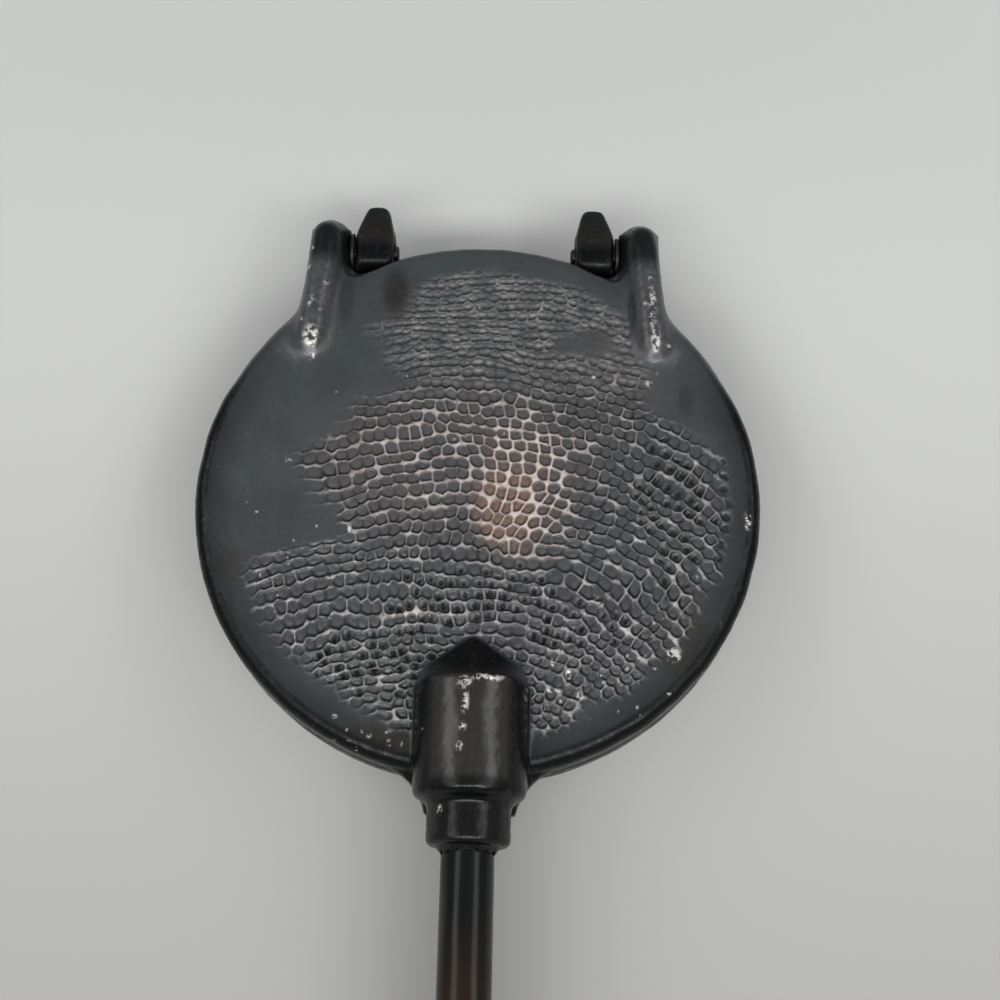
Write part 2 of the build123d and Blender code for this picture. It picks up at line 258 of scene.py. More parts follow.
# The draws repeat after this many rows and columns, and this distance stands for no pit yet
field_size = 96
unmet = 1e9


def pit_field(plan, netted, seed):
    """The pits of a back: how high each point is on a pit's wall, how near to a crest's middle,
    how far from its pit's middle, how far up the pit (1 at its top, -1 at its foot), and a
    number drawn for the pit.  Pits of a row run together, except where netted is 1."""
    draw = np.random.default_rng(seed)
    x, y = plan.T
    centre_y = np.where(x > 0, row_centre_right, row_centre_left)
    turn = np.arctan2(x, y - centre_y)
    up = np.hypot(x, y - centre_y) + centre_y
    up += waves(plan, *row_swell, seed + 1) + waves(plan, *row_wobble, seed + 2)
    drift = waves(plan, *row_drift, seed + 3)
    # The row number at every half millimetre up the back
    ladder = np.linspace(-90, 90, 361)
    rungs = ladder / row_pitch + row_crowding * (ladder / crowding_reach) ** 3
    row_at = np.interp(up, ladder, rungs)
    tall = 1 / (1 / row_pitch + 3 * row_crowding * up ** 2 / crowding_reach ** 3)
    field = (field_size, field_size)
    shift_along = draw.uniform(-stray_along, stray_along, field)
    shift_up = draw.uniform(-stray_up, stray_up, field)
    gap = draw.choice(gap_kinds, field, p=gap_odds)
    bank = draw.uniform(*bank_range, field)
    drawn = draw.random(field)
    phase = draw.random(field_size)
    # The nearest pit and the next one are kept as offset across, offset up, row and column.
    near = np.full(len(plan), unmet)
    next_near = np.full(len(plan), unmet)
    near_at = np.zeros((len(plan), 4))
    next_at = np.zeros((len(plan), 4))
    wide = np.ones(len(plan))
    own_row = np.round(row_at).astype(int)
    for row_step in (-1, 0, 1):
        row = own_row + row_step
        row_up = np.interp(row, rungs, ladder)
        row_pit = np.interp(row_up, *pit_pitch)
        along = ((row_up - centre_y) * turn + drift) / row_pit + phase[row % field_size]
        own_column = np.round(along).astype(int)
        for column_step in (-1, 0, 1):
            column = own_column + column_step
            r, c = row % field_size, column % field_size
            across = (along - column - shift_along[r, c]) * row_pit
            rise = (row_at - row - shift_up[r, c]) * tall
            away = np.hypot(across, rise)
            this_at = np.stack((across, rise, r, c), axis=1)
            closer = away < near
            between = ~closer & (away < next_near)
            next_at[closer] = near_at[closer]
            next_near[closer] = near[closer]
            near_at[closer] = this_at[closer]
            near[closer] = away[closer]
            wide[closer] = row_pit[closer]
            next_at[between] = this_at[between]
            next_near[between] = away[between]
    apart = np.hypot(near_at[:, 0] - next_at[:, 0], near_at[:, 1] - next_at[:, 1])
    edge = (next_near ** 2 - near ** 2) / (2 * np.maximum(apart, 0.3))
    r, c = near_at[:, 2].astype(int), near_at[:, 3].astype(int)
    left = np.where(near_at[:, 0] > 0, c, (c - 1) % field_size)
    same_row = near_at[:, 2] == next_at[:, 2]
    divided = gap[r, left] + (netted_gap - gap[r, left]) * netted
    firm = np.where(same_row, divided, bank[r, c])
    half = 0.25 * (wide + tall)
    stretch = pit_stretch + (1 - pit_stretch) * netted
    from_middle = np.hypot(near_at[:, 0] * stretch, near_at[:, 1])
    within = np.minimum(edge + gap_opening * (1 - firm), pit_roundness * half - from_middle)
    wall = 1 - step(*wall_edge, within)
    crest = firm * (1 - step(0.0, crest_width, within))
    tilt = np.clip(near_at[:, 1] / half, -1, 1)
    return wall * (0.5 + 0.5 * firm), crest, near, tilt, drawn[r, c]


# (y, x) along the left and right edges of the pitted part of a back
pits_left = (
    (-62, -50, -39, -22, -18, -13, -8, 3, 8, 16, 24, 29, 34, 45, 52, 61),
    (-20, -34, -49, -58, -54, -35, -36, -44, -48, -36, -31, -18, -24, -28, -19, -13),
)
pits_right = (
    (-60, -54, -42, -26, -20, 9, 15, 21, 35, 46, 55, 61),
    (22, 35, 51, 56, 63, 62, 57, 46, 42, 39, 37, 17),
)
# (x, y, half width, half height) of the places without pits
smooth_patches = ((27, 41, 11, 5), (-36, -10, 6, 3.5), (33, -56, 12, 6), (47, 27, 7, 6))
smooth_patch_strength = 0.92
pits_end = (59.5, 63.5)
pits_left_fade = (-4, 7)
pits_right_fade = (-3, 5)
edge_wobble = (1.2, 11)
end_wobble = 0.6
patch_wobble = 0.8
pit_loss = 0.14
pit_loss_length = 9


def pitted_share(plan, seed):
    """Where a back is pitted (1) and where it was cast or has worn smooth (0)."""
    x, y = plan.T
    wobble = waves(plan, *edge_wobble, seed + 5)
    share = 1 - step(*pits_end, np.hypot(x, y) + end_wobble * wobble)
    share *= step(*pits_left_fade, x - np.interp(y, *pits_left) + wobble)
    share *= step(*pits_right_fade, np.interp(y, *pits_right) - x + wobble)
    for patch in smooth_patches:
        share *= 1 - smooth_patch_strength * spot(plan + patch_wobble * wobble[:, None], *patch)
    loss = np.clip(waves(plan, 1.0, pit_loss_length, seed + 6), -1, 1)
    return share * (1 - pit_loss + pit_loss * loss)


# A pit is deeper towards its foot than its top, with a low dome in its middle.  The tables
# give as (y, share) how pits change from the foot of a back to its top.
pit_depth = 0.6
depth_by_y = ((-45, -10, 30, 60), (1.1, 1.0, 0.85, 0.7))
pit_tilt = 0.6
netted_tilt_loss = 0.6
pit_dome = 0.2
dome_radius = 0.8
dome_by_y = ((-20, 10), (1.0, 0.5))
crest_by_y = ((24, 34), (1.0, 0.5))
shade_by_y = ((24, 36), (1.0, 0.5))
# A painted highlight: the light streak just above a pit's middle, where the rows are crowded
glint_by_y = ((24, 34), (0.0, 0.45))
glint_radius = 1.5
glint_tilt = 0.25
glint_width = 0.3
# The painted shade on a pit's wall: less towards the top of the pit, and kept within these limits
shade_mean = 0.8
shade_tilt = 0.5
shade_limits = (0.35, 1.15)
# (x, y, half width, half height, strength) of the places where pits have a deep hole; towards
# the right edge the holes are wider and less deep
pinhole_places = (
    (-2, -27, 24, 10, 1.0), (22, -33, 16, 8, 0.8), (-26, -44, 20, 11, 0.7), (48, -4, 11, 20, 0.8),
)
pinhole_share = 0.85
pinhole_depth = 0.9
pinhole_radius = 0.55
pinhole_right = (38, 44)
pinhole_right_growth = 0.3
pinhole_depth_by_x = ((34, 42), (1.0, 0.5))
# How strongly the pinholes are painted dark, as painted shade in them
pinhole_dark = 2.0
# A file of larger pits stands along the right edge of a back, counted downwards; turns are in
# degrees and sizes in mm.
rim_pits = 8
rim_pit_circle = 61.0
rim_pit_radius = 1.6
rim_pit_depth = 0.55
rim_pit_first = 8.5
rim_pit_turn = 3.35
rim_pit_edge = (0.45, 1.1)
rim_pit_stray_turn = 0.12
rim_pit_stray_out = 0.5
rim_pit_sizes = (0.7, 1.1)
rim_pit_depths = (0.6, 1.0)
# How strongly the rim pits are painted dark, as painted shade in them
rim_pit_dark = 0.7
# The flat of a back: how squarely it faces outwards and how near it lies to the back's height
back_facing = (0.75, 0.95)
back_within = 0.6


def work_back(points, normals, netted, back_z, facing, seed):
    """Sinks the pits into a plate's back and says how strong crest, floor, wall and hole are, for the
    colour: crests partly worn and partly a painted highlight, floors painted light, walls and holes
    painted shade.
    """
    plan = points[:, :2]
    x, y = plan.T
    on_back = step(*back_facing, normals[:, 2] * facing)
    on_back = on_back * (np.abs(points[:, 2] - back_z) < back_within)
    on_back = on_back * (np.hypot(x, y) < back_reach)
    wall, crest, near, tilt, drawn = pit_field(plan, netted, seed)
    share = pitted_share(plan, seed) * on_back
    deep = pit_depth * np.interp(y, *depth_by_y)
    dome = pit_dome * np.exp(-(near / dome_radius) ** 2) * np.interp(y, *dome_by_y)
    hole_radius = pinhole_radius + pinhole_right_growth * step(*pinhole_right, x)
    holed = drawn < pinhole_share * spots(plan, pinhole_places)
    middle = np.exp(-(near / hole_radius) ** 2) * holed
    slope = 1 - pit_tilt * tilt * (1 - netted_tilt_loss * netted)
    sink = share * (deep * (1 - wall) * slope - dome)
    sink += share * middle * pinhole_depth * np.interp(x, *pinhole_depth_by_x)
    rim_pit = np.zeros(len(plan))
    draw = np.random.default_rng(seed + 7)
    for index in range(rim_pits):
        turns = index + draw.uniform(-rim_pit_stray_turn, rim_pit_stray_turn)
        angle = math.radians(rim_pit_first - rim_pit_turn * turns)
        circle = rim_pit_circle + draw.uniform(-rim_pit_stray_out, rim_pit_stray_out)
        middle_at = np.array((math.cos(angle), math.sin(angle))) * circle
        radius = rim_pit_radius * draw.uniform(*rim_pit_sizes)
        from_middle = np.hypot(*(plan - middle_at).T) / radius
        strength = draw.uniform(*rim_pit_depths)
        rim_pit = np.maximum(rim_pit, strength * (1 - step(*rim_pit_edge, from_middle)))
    sink += on_back * rim_pit * rim_pit_depth
    points[:, 2] -= facing * np.maximum(sink, 0)
    # The pinholes and rim pits are painted dark: painted shade in them.
    hole = on_back * np.maximum(rim_pit_dark * rim_pit, pinhole_dark * middle * share)
    # A painted highlight streak near the crowded top rows, and painted shade on the pit walls, more
    # towards each pit's foot.
    glint = np.exp(-(near / glint_radius) ** 2 - ((tilt - glint_tilt) / glint_width) ** 2)
    crest = np.maximum(crest * np.interp(y, *crest_by_y), glint * np.interp(y, *glint_by_y))
    shaded = np.sqrt(4 * wall * (1 - wall))
    shaded *= np.clip(shade_mean - shade_tilt * tilt, *shade_limits) * np.interp(y, *shade_by_y)
    return share * crest, share * (1 - wall), share * shaded, hole


# (height, length) of the unevenness of the casting, and how far it may go in or out
cast_swell = (0.07, 11)
cast_ripple = (0.02, 2.6)
cast_limits = (-0.2, 0.1)
kept_flat = (0.4, 1.6)


def settle(points, normals, seed):
    """The slight unevenness of a sand casting, kept off the faces that close on each other."""
    away = step(*kept_flat, np.abs(points[:, 2] - parting))
    swell = waves(points, *cast_swell, seed) + waves(points, *cast_ripple, seed + 1)
    return points + normals * (away * np.clip(swell, *cast_limits))[:, None]


# (x, y, half width, half height) of the places where the black skin has chipped off the upper
# plate's iron
chips_upper = [
    (-43.6, 40.4, 2.2, 3.2), (-43.2, 36.4, 0.9, 1.8), (44.2, 41.0, 1.3, 3.4), (43.6, 50.0, 1.0, 7.0),
    (-1.5, -51.5, 1.8, 1.6), (-1.2, -56.0, 0.9, 2.6), (-1.6, -61.5, 0.8, 1.2), (-2.2, -65.8, 0.8, 1.2),
    (-6.3, -79.0, 0.6, 1.2), (3.6, -50.2, 4.0, 0.9), (66.2, -6.5, 1.0, 2.6),
    (19.1, -49.6, 2.2, 0.6), (22.4, -45.5, 0.7, 0.9), (18.7, -42.9, 0.5, 1.0), (17.3, -54.0, 0.6, 1.1),
    (-47.3, 7.2, 1.2, 0.4), (-31.0, -10.4, 0.5, 1.4), (28.7, 31.7, 0.7, 0.5), (47.3, -40.4, 2.0, 2.0),
]
chips_down_to = -3
# (x, y, half width, half height, how many, radius) of the places with scattered small light flecks,
# painted highlights that stand for glints of the glossy skin
glint_fleck_places = (
    (-48, -14, 12, 16, 10, 0.42), (44, -40, 16, 16, 30, 0.42), (20, -50, 14, 10, 14, 0.5),
    (0, 10, 60, 50, 16, 0.35), (44, 50, 4, 16, 12, 0.8), (-44, 50, 4, 16, 8, 0.7),
    (-24, -61, 10, 3, 14, 0.55),
)
fleck_strength = 0.6
fleck_growth = (0.5, 1.3)
# (x, y, half width, half height, strength) of the patches on a back: netted with bare crests, tinted
# by thin oil and heat, smudged with soot, or darkened as painted shade
bare_places = ((11, 3, 15, 24, 1.0), (-4, 9, 34, 18, 0.5), (-16, -31.5, 6, 3, 0.7))
tint_places = {
    "copper": ((10, 0, 14, 20, 1.0),),
    "warm": ((-6, 8, 44, 26, 0.8), (30, 30, 20, 20, 0.5)),
    "tan": ((7, -4, 9, 13, 0.55),),
}
purple_places = ((-50, -27, 16, 16, 0.8), (22, -34, 30, 16, 0.8))
brown_places = (
    (-60, -20, 5, 6, 0.5), (-24, -62, 13, 4, 1.0), (-22, 53, 4, 8, 0.8), (50, -38, 8, 14, 0.6),
    (4, -50, 7, 4, 1.0),
)
# Of these, the strips beside the ribs and the patches between the ears and the lugs are painted shade;
# the rest are smudges of soot.
soot_and_shade_places = (
    (-23, 56, 4, 8, 0.45), (-35.5, 53, 2.5, 9, 0.3), (38.5, 50, 1.5, 8, 0.6), (52, 26, 2.5, 5, 0.3),
    (-26, -64, 14, 3.5, 0.7), (-33, 68, 5, 5, 0.8), (33, 68, 5, 5, 0.8),
)
# The parts of a plate, each by its limits: a measure, where the part ends and where it is full
parts = {
    "around_ribs": (("y", 24, 32), ("side", 24, 30), ("height", -4.5, -2)),
    "around_prow": (("height", -1.5, -0.5), ("y", -66, -58)),
    "lug_body": (("y", 62, 68), ("height", -8, -12)),
    "flat_back": (("height", -1.5, -0.3), ("height", 3.0, 1.2)),
    "groove": (("y", -73.8, -74.6), ("y", -77.4, -76.8), ("side", 9, 7.5)),
    "batter_face": (("height", -5.4, -5.8), ("circle", 62, 60)),
    "lug": (("height", -2, -4),),
    "lug_middle": (("y", 70, 74), ("y", 82, 76)),
    "barrel": (("y", -44, -50), ("height", 1.5, 4), ("side", 16, 14)),
    "cheek": (("side", 7.5, 10),),
    "collar": (("y", -71, -73.5),),
    "rib": (("height", 0.8, 2.6), ("y", 33, 38), ("side", 37, 39)),
    "rib_top": (("upright", 0.3, 0.8), ("y", 66, 60)),
    "prow": (("height", 0.4, 1.4),),
    "flank": (("upright", 0.9, 0.35),),
    "hinge": (("y", 60, 66),),
    "ear": (("height", 0.0, 2.0),),
    "rim": (("circle", 65.0, 67.5),),
    "shoulder": (("circle", 58, 67),),
    "lower_rim": (("y", 45, 20),),
    "oiled_rim": (("circle", 64, 68), ("y", -35, -10)),
    "raised": (("height", 0.8, 3),),
    "before_hinge": (("y", 66, 60),),
    "mating_rim": (("circle", 61, 62.5), ("y", 62, 58)),
    "rubbed_edges": (("y", -60, -48), ("y", 70, 62)),
}
prow_root = (0, -46, 24, 26)
prow_nose = (0, -41, 15, 10)
rib_rounds = 110
prow_rounds = 14
lug_rounds = 40
groove_above = 2
rim_below = 0.6
mating_within = 0.4
# How light crests and pits are painted, and how the crests' wear comes and goes over a back: crests
# partly wear and partly painted highlight, brighter towards the foot and the top, and pit floors
# painted light
crest_strength = 0.85
crest_by_place = ((-15, 0, 20, 40), (1.25, 1.0, 1.0, 1.25))
wear_mean = 0.75
wear_swing = 0.3
wear_length = 7
pit_strength = 0.5
rib_strength = 0.75
# How dark a lug is painted, as (y, share): soot, with painted shade darkest at its foot; how dark the
# groove, the collar and the rim's shoulder are painted, as painted shade, and the hinge, with soot and
# painted shade; how much less painted shade lies on the ribs' flanks; then the size of the burnt
# batter's stains inside and which part of them shows
lug_soot_and_shade = ((70, 74, 80), (1.2, 0.75, 0.9))
groove_shade = 0.9
collar_shade = 0.8
knuckle_soot_and_shade = 0.9
shoulder_shade = 0.5
rib_flank_less_shade = 0.5
batter_cloud = 22
batter_burnt = (-0.4, 1.2)
# Rubbed edges, and the painted shade in hollows and creases, by how sharply a point stands out or lies
# in
edge_sharpness = (0.12, 0.75)
edge_rub = 0.5
mating_rub = 0.35
pit_bounds = (0.05, 0.3)
hollow_depth = (0.4, 1.8)
faint_hollow_depth = (0.15, 0.9)
faint_hollow = 0.3
wall_shade = 0.9
bare_wall_loss = 0.5


def linear(hex_colour):
    """An sRGB hex colour as linear red, green, blue and alpha."""
    shares = [int(hex_colour[start:start + 2], 16) / 255 for start in (1, 3, 5)]
    return [s / 12.92 if s <= 0.04045 else ((s + 0.055) / 1.055) ** 2.4 for s in shares] + [1.0]


def add_node(tree, kind, given):
    """Adds a node with its settings, its inputs' values and the sockets that feed them."""
    node = tree.nodes.new(kind)
    for key, value in given.items():
        if isinstance(key, str) and hasattr(node, key):
            setattr(node, key, value)
        elif isinstance(value, bpy.types.NodeSocket):
            tree.links.new(value, node.inputs[key])
        else:
            node.inputs[key].default_value = value
    return node


def per_mm(size):
    """A texture scale that gives features of this size in millimetres."""
    return 1 / (size * mm)


def seasoned_cast_iron():
    """Sand-cast grey iron under baked-on oil: dark and half glossy, with the grain of the moulding
    sand, rubbed to bare metal on its crests and burnt brown where the oil is thin. Painted shade
    darkens its pit walls, hollows, holes, steep sides, prow, hinge and the rim on the handles' side,
    and painted light brightens its crests, pit floors, rib tops and scattered flecks."""
    material = bpy.data.materials.new("seasoned_sand_cast_iron")
    material.use_nodes = True
    tree = material.node_tree
    shader = tree.nodes["Principled BSDF"]
    place = add_node(tree, "ShaderNodeTexCoord", {}).outputs["Object"]
    cloud = add_node(
        tree, "ShaderNodeTexNoise", {"Vector": place, "Scale": per_mm(14), "Detail": 4}
    ).outputs["Fac"]
    mottle = add_node(
        tree, "ShaderNodeTexNoise",
        {"Vector": place, "Scale": per_mm(1.4), "Detail": 6, "Roughness": 0.62},
    ).outputs["Fac"]
    sand = add_node(
        tree, "ShaderNodeTexNoise",
        {"Vector": place, "Scale": per_mm(0.5), "Detail": 3, "Roughness": 0.6},
    ).outputs["Fac"]
    shares = {}
    colour = add_node(
        tree, "ShaderNodeMix",
        {"data_type": "RGBA", 0: cloud, 6: linear("#2d3132"), 7: linear("#424748")},
    ).outputs[2]
    # Each layer of colour lies where its mark says, broken up by a noise between low and high.
    layers = (
        ("warm", cloud, 0.2, 0.5, "#4d4849"),
        ("purple", cloud, 0.3, 0.6, "#37353c"),
        ("brown", mottle, 0.3, 0.62, "#33281f"),
        ("copper", mottle, 0.0, 0.5, "#564a46"),
        # pit floors painted lighter: painted light
        ("pit", mottle, 0.2, 0.6, "#4a484a"),
        ("tan", mottle, 0.1, 0.6, "#8a6854"),
        ("barrel", mottle, 0.0, 0.5, "#262422"),
        # rib tops lighter: partly wear, partly painted light
        ("rib", mottle, 0.4, 0.7, "#595456"),
        # soot, and painted shade on steep sides, the prow, the barrel's sides, the rim on the handles'
        # side and round the hinge
        ("soot_and_shade", mottle, -0.2, 0.45, "#08090a"),
        # painted shade on the pit walls and in hollows and creases
        ("hollow", mottle, 0.0, 0.4, "#0c0d0e"),
        # crests: partly wear, partly painted highlight
        ("crest", mottle, 0.25, 0.55, "#c8c2c1"),
        ("bare_crest", mottle, 0.15, 0.45, "#e6d6cd"),
        ("proud", mottle, 0.46, 0.66, "#6f6a68"),
        # painted shade in the pinholes, the rim pits and the socket's groove
        ("hole", mottle, -0.5, 0.3, "#050606"),
        # chips of the black skin, and light flecks painted as glints
        ("chip_and_glint", mottle, 0.47, 0.54, "#d8d4ce"),
    )
    for name, noise, low, high, hex_colour in layers:
        marked = add_node(tree, "ShaderNodeAttribute", {"attribute_name": name}).outputs["Fac"]
        shares[name] = add_node(
            tree, "ShaderNodeMapRange",
            {"Value": noise, "From Min": low, "From Max": high, "To Max": marked},
        ).outputs["Result"]
        colour = add_node(
            tree, "ShaderNodeMix",
            {"data_type": "RGBA", 0: shares[name], 6: colour, 7: linear(hex_colour)},
        ).outputs[2]
    tree.links.new(colour, shader.inputs["Base Color"])
    # Chips, the painted glint flecks and bare crests show the metal; soot and painted shade lose their
    # sheen, which darkens the painted shade further.
    metal = add_node(
        tree, "ShaderNodeMath", {"operation": "MAXIMUM", 0: shares["chip_and_glint"], 1: shares["bare_crest"]}
    ).outputs[0]
    metal = add_node(tree, "ShaderNodeMapRange", {"Value": metal, "To Max": 0.35}).outputs["Result"]
    tree.links.new(metal, shader.inputs["Metallic"])
    matt = add_node(
        tree, "ShaderNodeMath", {"operation": "MAXIMUM", 0: shares["soot_and_shade"], 1: shares["hollow"]}
    ).outputs[0]
    sheen = add_node(
        tree, "ShaderNodeMapRange", {"Value": matt, "To Min": 0.5, "To Max": 0.15}
    ).outputs["Result"]
    tree.links.new(sheen, shader.inputs["Specular IOR Level"])
    oily = add_node(tree, "ShaderNodeAttribute", {"attribute_name": "oily"}).outputs["Fac"]
    least = add_node(
        tree, "ShaderNodeMapRange", {"Value": oily, "To Min": 0.24, "To Max": 0.16}
    ).outputs["Result"]
    most = add_node(
        tree, "ShaderNodeMapRange", {"Value": oily, "To Min": 0.42, "To Max": 0.28}
    ).outputs["Result"]
    rough = add_node(
        tree, "ShaderNodeMapRange",
        {"Value": mottle, "From Min": 0.3, "From Max": 0.7, "To Min": least, "To Max": most},
    ).outputs["Result"]
    tree.links.new(rough, shader.inputs["Roughness"])
    grain = add_node(
        tree, "ShaderNodeBump", {"Strength": 0.35, "Distance": 0.05 * mm, "Height": sand}
    ).outputs["Normal"]
    lumps = add_node(
        tree, "ShaderNodeBump",
        {"Strength": 0.5, "Distance": 0.13 * mm, "Height": mottle, "Normal": grain},
    ).outputs["Normal"]
    tree.links.new(lumps, shader.inputs["Normal"])
    return material


iron = seasoned_cast_iron()
# (body, height of the back, which way it faces, seed, chips) of each plate
plates = {
    "upper_plate": ("upper_half", upper_back, 1, 11, chips_upper),
    "lower_plate": ("lower_half", lower_back, -1, 37, []),
}
for node, (body, back_z, facing, seed, chips) in plates.items():
    plate = fine_skin(node, "cast_" + node, plate_grain)
    points, normals = read_points(plate)
    measures = measure(points, normals, back_z, facing)
    # The castings' inner corners are filled softly, and the lugs have no sharp edge.
    rub_down(plate, inside(measures, parts["around_ribs"]), rib_rounds)
    by_the_prow = spot(points[:, :2], *prow_root) * inside(measures, parts["around_prow"])
    rub_down(plate, by_the_prow, prow_rounds)
    if facing < 0:
        rub_down(plate, inside(measures, parts["lug_body"]), lug_rounds)
    halve_back(plate, back_z)

    points, normals = read_points(plate)
    measures = measure(points, normals, back_z, facing)
    on = {name: inside(measures, limits) for name, limits in parts.items()}
    y, height = measures["y"], measures["height"]
    plan = points[:, :2].copy()
    bare = spots(plan, bare_places)
    crest, pit, wall, hole = work_back(points, normals, bare, back_z, facing, seed)
    write_points(plate, settle(points, normals, seed + 20))
    proud = standing_out(plate)

    # Crests are painted light, partly as wear and partly as painted highlight; pit floors are painted
    # lighter as painted light.
    worn = wear_mean + wear_swing * np.clip(waves(plan, 1.0, wear_length, seed + 8), -1, 1)
    mark(plate, "crest", crest_strength * crest * worn * np.interp(y, *crest_by_place))
    mark(plate, "bare_crest", crest * bare * on["flat_back"])
    mark(plate, "pit", pit_strength * pit)
    # The socket's groove is painted dark with the holes: painted shade in it.
    groove = on["groove"] * (height > groove_above)
    mark(plate, "hole", np.maximum(hole, groove_shade * groove))
    for name, places in tint_places.items():
        mark(plate, name, spots(plan, places) * on["flat_back"])
    mark(plate, "purple", spots(plan, purple_places))

    lug = on["lug"] * (facing < 0)
    batter = step(*batter_burnt, waves(plan, 1.0, batter_cloud, seed + 12))
    burnt_batter = on["batter_face"] * batter
    burnt = np.maximum(lug * on["lug_middle"], burnt_batter)
    mark(plate, "brown", np.maximum(spots(plan, brown_places), burnt))
    mark(plate, "barrel", on["barrel"])
    # Rib tops are painted lighter, partly as wear and partly as painted light on their upturned faces.
    mark(plate, "rib", rib_strength * on["rib"] * on["rib_top"])

    # Painted shade darkens the barrel's sides and its end by the collar, the prow, the steep flanks
    # and the rim on the handles' side; the hinge's ears and lugs are dark with soot and with painted
    # shade at their foot.
    cheeks = on["barrel"] * np.maximum(on["cheek"], collar_shade * on["collar"])
    prow = spot(plan, *prow_nose) * on["prow"]
    flank = on["flank"] * (1 - rib_flank_less_shade * on["rib"])
    knuckle = on["hinge"] * np.maximum(on["ear"], lug * np.interp(y, *lug_soot_and_shade))
    rim = np.maximum(on["rim"], shoulder_shade * on["shoulder"])
    rim = rim * (height < rim_below) * on["lower_rim"]
    soot_and_shade_spots = spots(plan, soot_and_shade_places)
    soot_and_shade = (prow, flank, knuckle_soot_and_shade * knuckle, rim, cheeks, soot_and_shade_spots)
    mark(plate, "soot_and_shade", np.maximum.reduce(soot_and_shade))
    mark(plate, "oily", np.maximum(on["oiled_rim"], on["raised"]) * on["before_hinge"])

    in_pits = step(*pit_bounds, pit + crest)
    mating_rim = (np.abs(height + parting) < mating_within) * on["mating_rim"]
    edges = edge_rub * step(*edge_sharpness, proud) * (1 - in_pits) * on["rubbed_edges"]
    mark(plate, "proud", np.maximum(edges, mating_rub * mating_rim))
    # Painted shade: the pit walls are painted dark, more towards each pit's foot, and so are hollows
    # and creases, more faintly outside the pits.
    shade = wall_shade * wall * (1 - bare_wall_loss * bare)
    shaded_hollows = np.maximum(step(*hollow_depth, -proud), shade)
    faint = faint_hollow * step(*faint_hollow_depth, -proud)
    mark(plate, "hollow", np.where(in_pits > 0.5, shaded_hollows, faint))

    # Chips of the black skin, and scattered light flecks painted as glints.
    draw = np.random.default_rng(seed + 9)
    chip_and_glint_spots = [(*place, 1.0) for place in chips]
    for middle_x, middle_y, wide, tall, count, radius in glint_fleck_places:
        for _ in range(count):
            fleck_x = draw.normal(middle_x, wide / 2)
            fleck_y = draw.normal(middle_y, tall / 2)
            fleck_wide = radius * draw.uniform(*fleck_growth)
            fleck_tall = radius * draw.uniform(*fleck_growth)
            chip_and_glint_spots.append((fleck_x, fleck_y, fleck_wide, fleck_tall, fleck_strength))
    mark(plate, "chip_and_glint", spots(plan, chip_and_glint_spots) * (height > chips_down_to))
    plate.data.materials.append(iron)
    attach(plate, body)
    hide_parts(node)

# The handles are two lengths of round black mild-steel bar, driven into the sockets and held there by
# a cross rivet. The brown over them, strongest a little way out from the sockets, is a painted
# reflection of a warm-coloured thing above them.
rod_grain = 0.5
# (height, length) of the long dents and of the bends, and how far they may go in or out
rod_dent = (0.035, 5)
rod_bend = (0.02, 9)
rod_limits = (-0.12, 0.03)
dent_stretch = (1, 0.2, 1)
# (y, how brown) along a rod, from its far end to the socket: a painted reflection, strongest a little
# way out from the socket
reflected_brown_by_y = ((-300, -170, -135, -100), (0.3, 0.6, 1.0, 0.0))
brown_mean = 0.75
brown_cloud = (0.25, 40)
end_sharpness = (0.25, 0.9)


def black_steel_bar():
    """Drawn steel bar under burnt oil: smooth and glossy, black by the socket and turning brown
    further out, with fine marks along its length. The brown is a painted reflection of a warm-coloured
    thing above the rods."""
    material = bpy.data.materials.new("oil_blackened_drawn_steel")
    material.use_nodes = True
    tree = material.node_tree
    shader = tree.nodes["Principled BSDF"]
    place = add_node(tree, "ShaderNodeTexCoord", {}).outputs["Object"]
    along = add_node(
        tree, "ShaderNodeMapping", {"Vector": place, "Scale": (1, 0.12, 1)}
    ).outputs["Vector"]
    streak = add_node(
        tree, "ShaderNodeTexNoise",
        {"Vector": along, "Scale": per_mm(1.6), "Detail": 5, "Roughness": 0.6},
    ).outputs["Fac"]
    cloud = add_node(
        tree, "ShaderNodeTexNoise", {"Vector": along, "Scale": per_mm(6), "Detail": 3}
    ).outputs["Fac"]
    brown = add_node(tree, "ShaderNodeAttribute", {"attribute_name": "brown"}).outputs["Fac"]
    rubbed = add_node(tree, "ShaderNodeAttribute", {"attribute_name": "proud"}).outputs["Fac"]
    tone = add_node(
        tree, "ShaderNodeMix",
        {"data_type": "RGBA", 0: cloud, 6: linear("#090a0b"), 7: linear("#141515")},
    ).outputs[2]
    # The brown laid over the black is a painted reflection.
    amount = add_node(
        tree, "ShaderNodeMath", {"operation": "MULTIPLY", 0: brown, 1: cloud}
    ).outputs[0]
    tone = add_node(
        tree, "ShaderNodeMix", {"data_type": "RGBA", 0: amount, 6: tone, 7: linear("#452d1b")}
    ).outputs[2]
    tone = add_node(
        tree, "ShaderNodeMix", {"data_type": "RGBA", 0: rubbed, 6: tone, 7: linear("#3c3835")}
    ).outputs[2]
    tree.links.new(tone, shader.inputs["Base Color"])
    rough = add_node(
        tree, "ShaderNodeMapRange", {"Value": streak, "To Min": 0.1, "To Max": 0.3}
    ).outputs["Result"]
    tree.links.new(rough, shader.inputs["Roughness"])
    shader.inputs["Specular IOR Level"].default_value = 0.22
    marks = add_node(
        tree, "ShaderNodeBump", {"Strength": 0.4, "Distance": 0.04 * mm, "Height": streak}
    ).outputs["Normal"]
    tree.links.new(marks, shader.inputs["Normal"])
    return material


bar = black_steel_bar()
